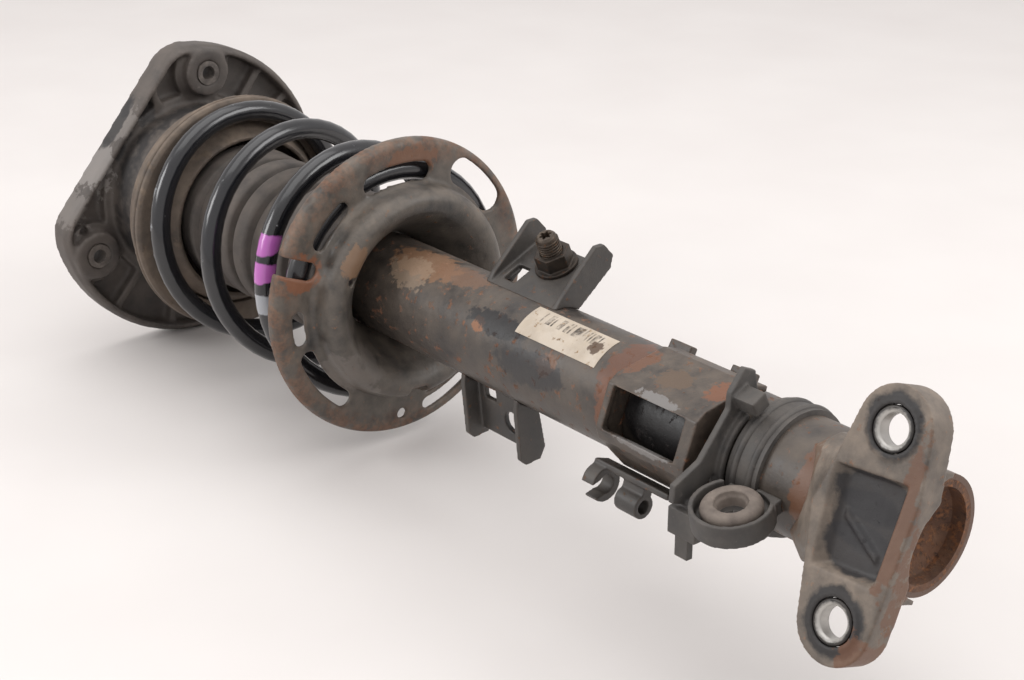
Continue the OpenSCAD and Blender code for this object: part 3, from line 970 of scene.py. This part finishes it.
@dataclass
class DustBoot:
    """The ribbed rubber boot between the upper seat and the tube.

    Args:
        rib_radius: Radius of the ribs.
        groove_radius: Radius between them.
        ribs: Number of ribs.
        first_x: Place of the first rib.
        last_x: Place where the last one ends.
        end_x: Place the boot is pressed against when the damper shortens. Not used.
        top_x: Place of its upper end.
        travel: Travel of the damper. Not used.
    """

    rib_radius: float = 43.6
    groove_radius: float = 37.2
    ribs: int = 6
    first_x: float = 92.0
    last_x: float = 206.0
    end_x: float = 214.0
    top_x: float = 74.0
    travel: float = 70.0

    def build(self) -> None:
        """Turns the ribs and their wall, and rounds them."""
        pitch = (self.last_x - self.first_x) / self.ribs
        profile = [(self.top_x, 32.5), (self.top_x, 44.0), (88.0, 44.0), (90.5, 40.5)]
        for i in range(self.ribs):
            x = self.first_x + pitch * i
            rib = self.rib_radius
            profile += [
                (x + pitch * 0.05, rib - 0.8),
                (x + pitch * 0.14, rib),
                (x + pitch * 0.55, rib - 0.4),
                (x + pitch * 0.66, rib - 1.6),
                (x + pitch * 0.76, self.groove_radius),
                (x + pitch * 0.92, self.groove_radius),
            ]
        end = self.last_x
        profile += [(end + 2, 31.5), (end + 8, 31.5), (end + 8, 28.4), (end, 28.4), (end - 3, 32.5)]
        mesh = lathe(profile, 128)
        bevel_corners(mesh, 0.9, 22, 3)
        look = BOOT_RUBBER.build()
        piece = finish_piece(
            "dust_boot_bellows", mesh, look, Body.DAMPER, ("dust_boot",)
        )
        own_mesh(piece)


@dataclass
class TopMount:
    """The cast top mount, with its rubber, sleeves, nut and upper race."""

    voxel: float = 1.4

    def build(self) -> None:
        """Softens the casting and dresses what stays."""
        cast = CAST_ALLOY.build()
        mesh = soften("mount_housing", self.voxel)
        finish_piece(
            "mount_casting", mesh, cast, Body.TOP_MOUNT, ("mount_housing",)
        )
        rubber, steel = BOOT_RUBBER.build(), GROUND_STEEL.build()
        looks = (
            (cast, ("mount_sleeves",)),
            (ZINC_PLATE.build(), ("mount_core", "mount_washer", "rod_nut")),
            (rubber, ("mount_rubber", "rebound_stop", "rod_seal", "lower_seat_pad")),
            (steel, ("bearing_upper_race", "bearing_lower_race", "bearing_balls")),
            (steel, ("piston_rod", "piston", "piston_nut", "pressure_tube", "base_valve")),
            (steel, ("rod_guide",)),
            (BUMP_FOAM.build(), ("bump_stop",)),
            (SLIDE_BAND.build(), ("piston_band",)),
            (RUSTY_STEEL.build(), ("tube_end_cap",)),
        )
        for look, nodes in looks:
            for node in nodes:
                dress(node, look)


@dataclass
class UpperSeat:
    """The moulded upper spring seat and its insulator."""

    voxel: float = 0.9

    def build(self) -> None:
        """Softens the moulding and dresses the insulator."""
        mesh = soften("upper_spring_seat", self.voxel, 2)
        look, body = SEAT_NYLON.build(), Body.SPRING_TOP
        nodes = ("upper_spring_seat",)
        finish_piece("upper_seat_moulding", mesh, look, body, nodes)
        pad = lathe([(69.0, 58.0), (69.0, 72.5), (71.8, 72.5), (73.0, 70.5), (73.0, 58.0)], 128)
        bevel_corners(pad, 0.5, 30, 2)
        look, nodes = SEAT_NYLON.build(), ("spring_insulator",)
        finish_piece("spring_insulator_ring", pad, look, body, nodes)


@dataclass
class Welds:
    """Rippled weld beads where the brackets meet the tube.

    Args:
        bead: Radius of a bead.
        ripple: Length of one ripple along a bead.
        step: Length of one step along a bead.
        arcs: Place along the axis, radius, and the two angles that each bead runs between.
        runs: Angle and radius, and the two places along the axis that each bead runs between.
    """

    bead: float = 1.7
    ripple: float = 2.6
    step: float = 0.8
    arcs: tuple[tuple[float, float, float, float], ...] = (
        (443.0, 27.9, -62.0, 102.0),
        (500.0, 27.9, -62.0, 102.0),
    )
    runs: tuple[tuple[float, float, float, float], ...] = (
        (108.0, 28.4, 446.0, 497.0),
        (-68.0, 28.4, 446.0, 497.0),
        (98.0, 27.8, 318.0, 365.0),
        (-74.0, 27.8, 318.0, 357.0),
    )

    def build(self) -> None:
        """Draws all the beads as one piece."""
        mesh = bmesh.new()
        for x, radius, start, end in self.arcs:
            length = math.radians(end - start) * radius
            steps = round(length / self.step)
            path = [
                Matrix.Rotation(-math.radians(start + (end - start) * i / steps), 4, "X")
                @ Matrix.Translation((self._drift(x, i) * MM, -radius * MM, 0))
                for i in range(steps + 1)
            ]
            sweep(mesh, path, self._radii(steps, length))
        for angle, radius, start, end in self.runs:
            steps = round((end - start) / self.step)
            turn = Matrix.Rotation(-math.radians(angle), 4, "X")
            along = Matrix.Rotation(math.radians(90), 4, "Y")
            path = [
                turn
                @ Matrix.Translation(((start + (end - start) * i / steps) * MM, -radius * MM, 0))
                @ along
                for i in range(steps + 1)
            ]
            sweep(mesh, path, self._radii(steps, end - start))
        tidy(mesh, 1e-6)
        finish_piece("weld_beads", mesh, RUSTY_STEEL.build(), Body.DAMPER)

    def _drift(self, x: float, step: int) -> float:
        """The slight wander of a hand-laid bead."""
        return x + 0.5 * math.sin(step * 0.31) + 0.3 * math.sin(step * 0.83)

    def _radii(self, steps: int, length: float) -> list[float]:
        """Radius at each step, with its ripples and its thin ends."""
        radii = []
        for i in range(steps + 1):
            share = i / steps
            wave = math.cos(2 * math.pi * share * length / self.ripple)
            end = min(1.0, 0.55 + 6 * share, 0.55 + 6 * (1 - share))
            radii.append(self.bead * end * (1 + 0.11 * wave + 0.06 * math.sin(i * 0.37)))
        return radii


@dataclass
class LinkStud:
    """Ball joint left on the upper link bracket: its housing and its threaded stud.

    Args:
        hole: Middle of the bracket's hole on its back face, before its turns.
        profile: Height along the stud and radius, round half its section.
        thread_root: Root radius of the thread.
        thread_crest: Crest radius of the thread.
        pitch: Pitch of the thread.
        thread_from: Height where the thread starts.
        thread_to: Height where it ends.
        lobe: Depth of the key recess's lobes, as a share of its radius.
        recess: Floor of the recess, and the inner and outer radius its wall lies between.
    """

    hole: tuple[float, float, float] = (LINK_X, -9.0, 41.0)
    profile: tuple[tuple[float, float], ...] = (
        (-12.8, 0.0),
        (-12.8, 6.0),
        (-11.0, 9.4),
        (-9.0, 11.2),
        (-6.0, 11.4),
        (-4.4, 10.9),
        (-3.2, 9.0),
        (-0.1, 8.8),
        (-0.1, 5.3),
        (22.6, 5.3),
        (23.9, 4.2),
        (23.9, 3.0),
        (23.4, 2.7),
        (20.2, 2.6),
        (20.0, 0.0),
    )
    thread_root: float = 5.2
    thread_crest: float = 6.0
    pitch: float = 1.5
    thread_from: float = 1.0
    thread_to: float = 21.5
    lobe: float = 0.24
    recess: tuple[float, float, float] = (20.1, 0.5, 3.2)

    def build(self) -> None:
        """Turns the stud, winds its thread and sets it in the bracket."""
        mesh = bmesh.new()
        verts = [mesh.verts.new((r * MM, 0, z * MM)) for z, r in self.profile]
        edges = [mesh.edges.new(pair) for pair in zip(verts, verts[1:])]
        bmesh.ops.spin(
            mesh,
            geom=verts + edges,
            cent=(0, 0, 0),
            axis=(0, 0, 1),
            angle=2 * math.pi,
            steps=72,
            use_merge=True,
        )
        bmesh.ops.remove_doubles(mesh, verts=mesh.verts, dist=1e-6)
        self._cut_lobes(mesh)
        bevel_corners(mesh, 0.25, 35, 2)
        self._wind_thread(mesh)
        bmesh.ops.recalc_face_normals(mesh, faces=mesh.faces)
        bmesh.ops.transform(mesh, matrix=self._place(), verts=mesh.verts)
        look, nodes = STUD_STEEL.build(), ("link_ball_joint",)
        finish_piece("threaded_link_stud", mesh, look, Body.DAMPER, nodes)

    def _cut_lobes(self, mesh: bmesh.types.BMesh) -> None:
        """Presses six lobes into the wall of the key recess."""
        floor, inner, outer = self.recess
        for vert in mesh.verts:
            reach = math.hypot(vert.co.x, vert.co.y) / MM
            if vert.co.z / MM > floor and inner < reach < outer:
                grow = 1 + self.lobe * math.cos(6 * math.atan2(vert.co.y, vert.co.x))
                vert.co.x *= grow
                vert.co.y *= grow

    def _wind_thread(self, mesh: bmesh.types.BMesh) -> None:
        """Adds the thread's ridge as a closed helix."""
        half = self.pitch * 0.42
        section = ((self.thread_root, -half), (self.thread_crest, 0.0), (self.thread_root, half))
        verts = [mesh.verts.new((r * MM, 0, (self.thread_from + z) * MM)) for r, z in section]
        rim = list(mesh.faces.new(verts).edges)
        height = self.thread_to - self.thread_from
        turns = height / self.pitch
        steps = round(turns * 32)
        made = bmesh.ops.spin(
            mesh,
            geom=rim,
            cent=(0, 0, 0),
            axis=(0, 0, 1),
            dvec=(0, 0, height * MM / steps),
            angle=2 * math.pi * turns,
            steps=steps,
        )
        rim = [g for g in made["geom_last"] if isinstance(g, bmesh.types.BMEdge)]
        bmesh.ops.holes_fill(mesh, edges=rim, sides=0)

    def _place(self) -> Matrix:
        """Moves the stud from its own axis to the bracket's hole."""
        hole = Matrix.Translation(tuple(c * MM for c in self.hole))
        web = Matrix.Rotation(math.radians(90 - LINK_LEAN), 4, "X")
        return Matrix.Rotation(-math.radians(KNUCKLE_ROLL + LINK_TURN), 4, "X") @ hole @ web


# Name, CAD node, grid of the remesh in mm, finish and slot of each softened copy on the damper.
SOFTENED = (
    ("seat_pressing", "lower_spring_seat", 0.95, SEAT_PAINT, "seat_paint"),
    ("link_channel_upper", "link_bracket_upper", 0.6, BRACKET_PAINT, "bracket_paint"),
    ("link_channel_lower", "link_bracket_lower", 0.6, BRACKET_PAINT, "bracket_paint"),
    ("hose_hook_bracket", "hose_bracket", 0.5, BRACKET_PAINT, "bracket_paint"),
    ("pocket_pressing", "knuckle_pocket", 0.6, POCKET_PAINT, "pocket_steel"),
    ("pocket_tab_pair", "pocket_tabs", 0.5, POCKET_PAINT, "pocket_steel"),
    ("eared_bracket", "knuckle_bracket", 0.7, DUSTY_BRACKET, "dusty_bracket"),
    ("lead_clip", "lead_holder", 0.6, HOLDER_NYLON, "holder_plastic"),
    ("lead_clip_grommet", "lead_grommet", 0.5, GROMMET_RUBBER, "grommet_rubber"),
    ("flange_nut", "link_nut", 0.35, NUT_PHOSPHATE, "dark_fastener"),
)


@dataclass
class DamperTube:
    """The damper's tube with everything pressed, welded or clipped on to it."""

    def build(self) -> None:
        """Dresses the tube and builds what sits on it."""
        paint = TUBE_PAINT.build()
        dress("damper_tube", paint)
        dress("bump_cap", paint)
        for row in SOFTENED:
            self._softened(*row)
        dress("lead_holder_bands", HOLDER_NYLON.build())
        dress("type_label", LABEL_VINYL.build())
        self._collars()

    def _softened(self, name: str, node: str, voxel: float, look: WornFinish, slot: str) -> None:
        """Stands a softened copy in for one CAD node of the damper."""
        mesh = soften(node, voxel)
        finish_piece(name, mesh, look.build(), Body.DAMPER, (node,))

    def _collars(self) -> None:
        """Turns the chamfered collars that are pressed into the two ears."""
        rim = [(29.1, 6.7), (29.1, 9.8), (35.9, 9.8), (36.45, 9.3), (36.45, 8.0), (35.2, 6.7)]
        mesh = lathe(rim, 64)
        bevel_corners(mesh, 0.25, 30, 2)
        face = Matrix.Rotation(-math.radians(90), 4, "Z")
        place = Matrix.Translation((EAR_X * MM, 0, -EAR_OFFSET * MM))
        bmesh.ops.transform(mesh, matrix=place @ face, verts=mesh.verts)
        whole = [*mesh.verts, *mesh.edges, *mesh.faces]
        copy = bmesh.ops.duplicate(mesh, geom=whole)["geom"]
        copy = [g for g in copy if isinstance(g, bmesh.types.BMVert)]
        bmesh.ops.translate(mesh, vec=(0, 0, 2 * EAR_OFFSET * MM), verts=copy)
        roll = Matrix.Rotation(-math.radians(KNUCKLE_ROLL), 4, "X")
        bmesh.ops.transform(mesh, matrix=roll, verts=mesh.verts)
        steel, nodes = COLLAR_STEEL.build(), ("knuckle_collars",)
        finish_piece("ear_collars", mesh, steel, Body.DAMPER, nodes)


# ---------------------------------------------------------------- studio


@dataclass
class Studio:
    """Floor, lights and camera.

    Args:
        back: Direction from the strut to the camera.
        eye: Place of the camera in metres.
        lens: Focal length on a sensor 36 mm wide.
        floor_size: Half the floor's width in metres.
        floor_gap: Gap between the strut and the floor in metres.
        fill: Strength of the light from all round.
        aim: Point that the lamps face, in metres.
    """

    back: tuple[float, float, float] = (0.70587, -0.59020, 0.39167)
    eye: tuple[float, float, float] = (0.99013, -0.54933, 0.36408)
    lens: float = 63.28
    floor_size: float = 6.0
    floor_gap: float = 0.0002
    fill: float = 0.88
    aim: tuple[float, float, float] = (0.3, 0, 0)

    def build(self) -> None:
        """Sets the whole studio up."""
        self._floor()
        self._lights()
        self._camera()

    def _floor(self) -> None:
        """A wide pale floor that just touches the strut."""
        mesh = bmesh.new()
        bmesh.ops.create_grid(mesh, x_segments=1, y_segments=1, size=self.floor_size)
        level = CAD_BOX[0][2] - self.floor_gap
        bmesh.ops.translate(mesh, verts=mesh.verts, vec=(0, 0, level))
        data = bpy.data.meshes.new("floor")
        mesh.to_mesh(data)
        mesh.free()
        floor = placed("floor", data)
        material = empty_material("white_studio_paper")
        tree = material.node_tree
        place = add(tree, "TexCoord").outputs["Object"]
        noise = add(tree, "TexNoise", None, {"Vector": place, "Scale": 9.0, "Detail": 3.0})
        feeds = {"Factor": noise.outputs["Fac"], 6: linear("#dad5d2"), 7: linear("#e2dedb")}
        tone = add(tree, "Mix", COLOURS, feeds).outputs[2]
        feeds = {"Base Color": tone, "Roughness": 0.6, "Specular IOR Level": 0.2}
        shader = add(tree, "BsdfPrincipled", None, feeds)
        add(tree, "OutputMaterial", None, {"Surface": shader.outputs["BSDF"]})
        data.materials.append(material)

    def _lights(self) -> None:
        """Soft light from all round with large lamps above and to both sides."""
        world = bpy.data.worlds.new("studio")
        bpy.context.scene.world = world
        world.use_nodes = True
        background = world.node_tree.nodes["Background"]
        background.inputs["Color"].default_value = linear("#f8f5f5")
        background.inputs["Strength"].default_value = self.fill
        bpy.context.scene.view_settings.view_transform = "Standard"
        lamps = (
            ("overhead", (0.15, -0.05, 1.5), 1.5, 10.0),
            ("left_softbox", (-0.55, -1.35, 0.85), 0.7, 10.0),
            ("right_softbox", (1.25, 0.75, 0.9), 0.7, 7.0),
        )
        for name, place, size, power in lamps:
            light = bpy.data.lights.new(name, "AREA")
            light.shape = "SQUARE"
            light.size = size
            light.energy = power
            lamp = placed(name, light)
            lamp.location = place
            aim = Vector(self.aim) - Vector(place)
            lamp.rotation_euler = aim.to_track_quat("-Z", "Y").to_euler()

    def _camera(self) -> None:
        """The camera, level and without shift."""
        data = bpy.data.cameras.new("camera")
        data.lens = self.lens
        data.sensor_width = 36.0
        data.sensor_fit = "HORIZONTAL"
        data.clip_start = 0.01
        camera = placed("camera", data)
        camera.location = self.eye
        camera.rotation_euler = Vector(self.back).to_track_quat("Z", "Y").to_euler()
        bpy.context.scene.camera = camera


PARTS = (
    Studio(),
    TopMount(),
    UpperSeat(),
    CoilSpring(),
    DustBoot(),
    DamperTube(),
    Welds(),
    LinkStud(),
)


def main() -> None:
    """Builds the studio and each sub-assembly, in order."""
    logging.basicConfig(level=logging.INFO, format="%(name)s: %(message)s")
    for part in PARTS:
        part.build()
        LOG.info("built %s", type(part).__name__)


if __name__ == "__main__":
    main()
